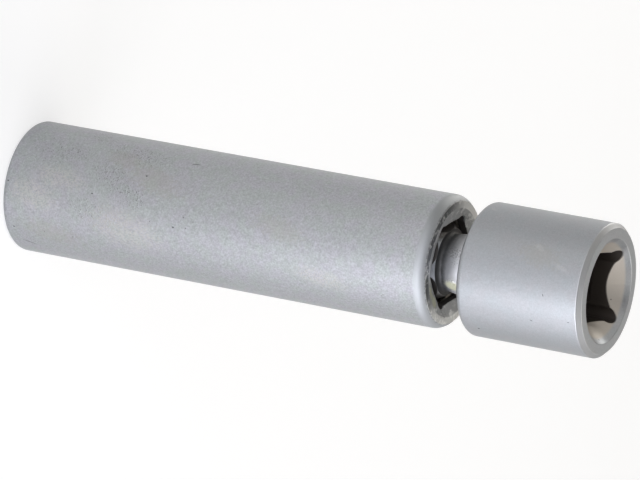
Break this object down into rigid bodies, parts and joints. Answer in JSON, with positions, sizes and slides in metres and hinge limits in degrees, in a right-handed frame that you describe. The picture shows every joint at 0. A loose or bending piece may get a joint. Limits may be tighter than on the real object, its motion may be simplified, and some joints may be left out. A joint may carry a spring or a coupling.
{
  "type": "swivel spark plug socket",
  "caption": "Long swivel spark plug socket: a satin chrome sleeve with a twelve-point plug end, and a short square-drive end that tilts on a six-sided ball.",
  "frame": {"origin": "centre of the plug end's face", "axes": "+Z along the socket's axis, from the plug end to the square drive; X and Y face the flats of the square"},
  "size_m": [0.019, 0.019, 0.0922],
  "materials": {
    "satin_chrome": "matt satin chrome, a few pits",
    "bright_chrome": "turned and chromed, greasy at the joint",
    "spring_steel": "oiled spring wire",
    "pressed_steel": "pressed, greased",
    "magnet_plate": "nickel plated"
  },
  "bodies": {
    "socket_body": {"sleeve": "satin_chrome", "retaining_ring": "spring_steel", "joint_spring": "spring_steel", "plug_magnet": "magnet_plate", "magnet_clip": "spring_steel"},
    "tilt_cup": {"friction_cup": "pressed_steel"},
    "drive_head": {"drive_end": "bright_chrome"}
  },
  "joints": [
    {"name": "tilt_x", "type": "hinge", "parent": "socket_body", "child": "tilt_cup", "pos_m": [0, 0, 0.0633], "axis": [1, 0, 0], "range_deg": [-12, 12]},
    {"name": "tilt_y", "type": "hinge", "parent": "tilt_cup", "child": "drive_head", "pos_m": [0, 0, 0.0633], "axis": [0, 1, 0], "range_deg": [-12, 12]}
  ]
}
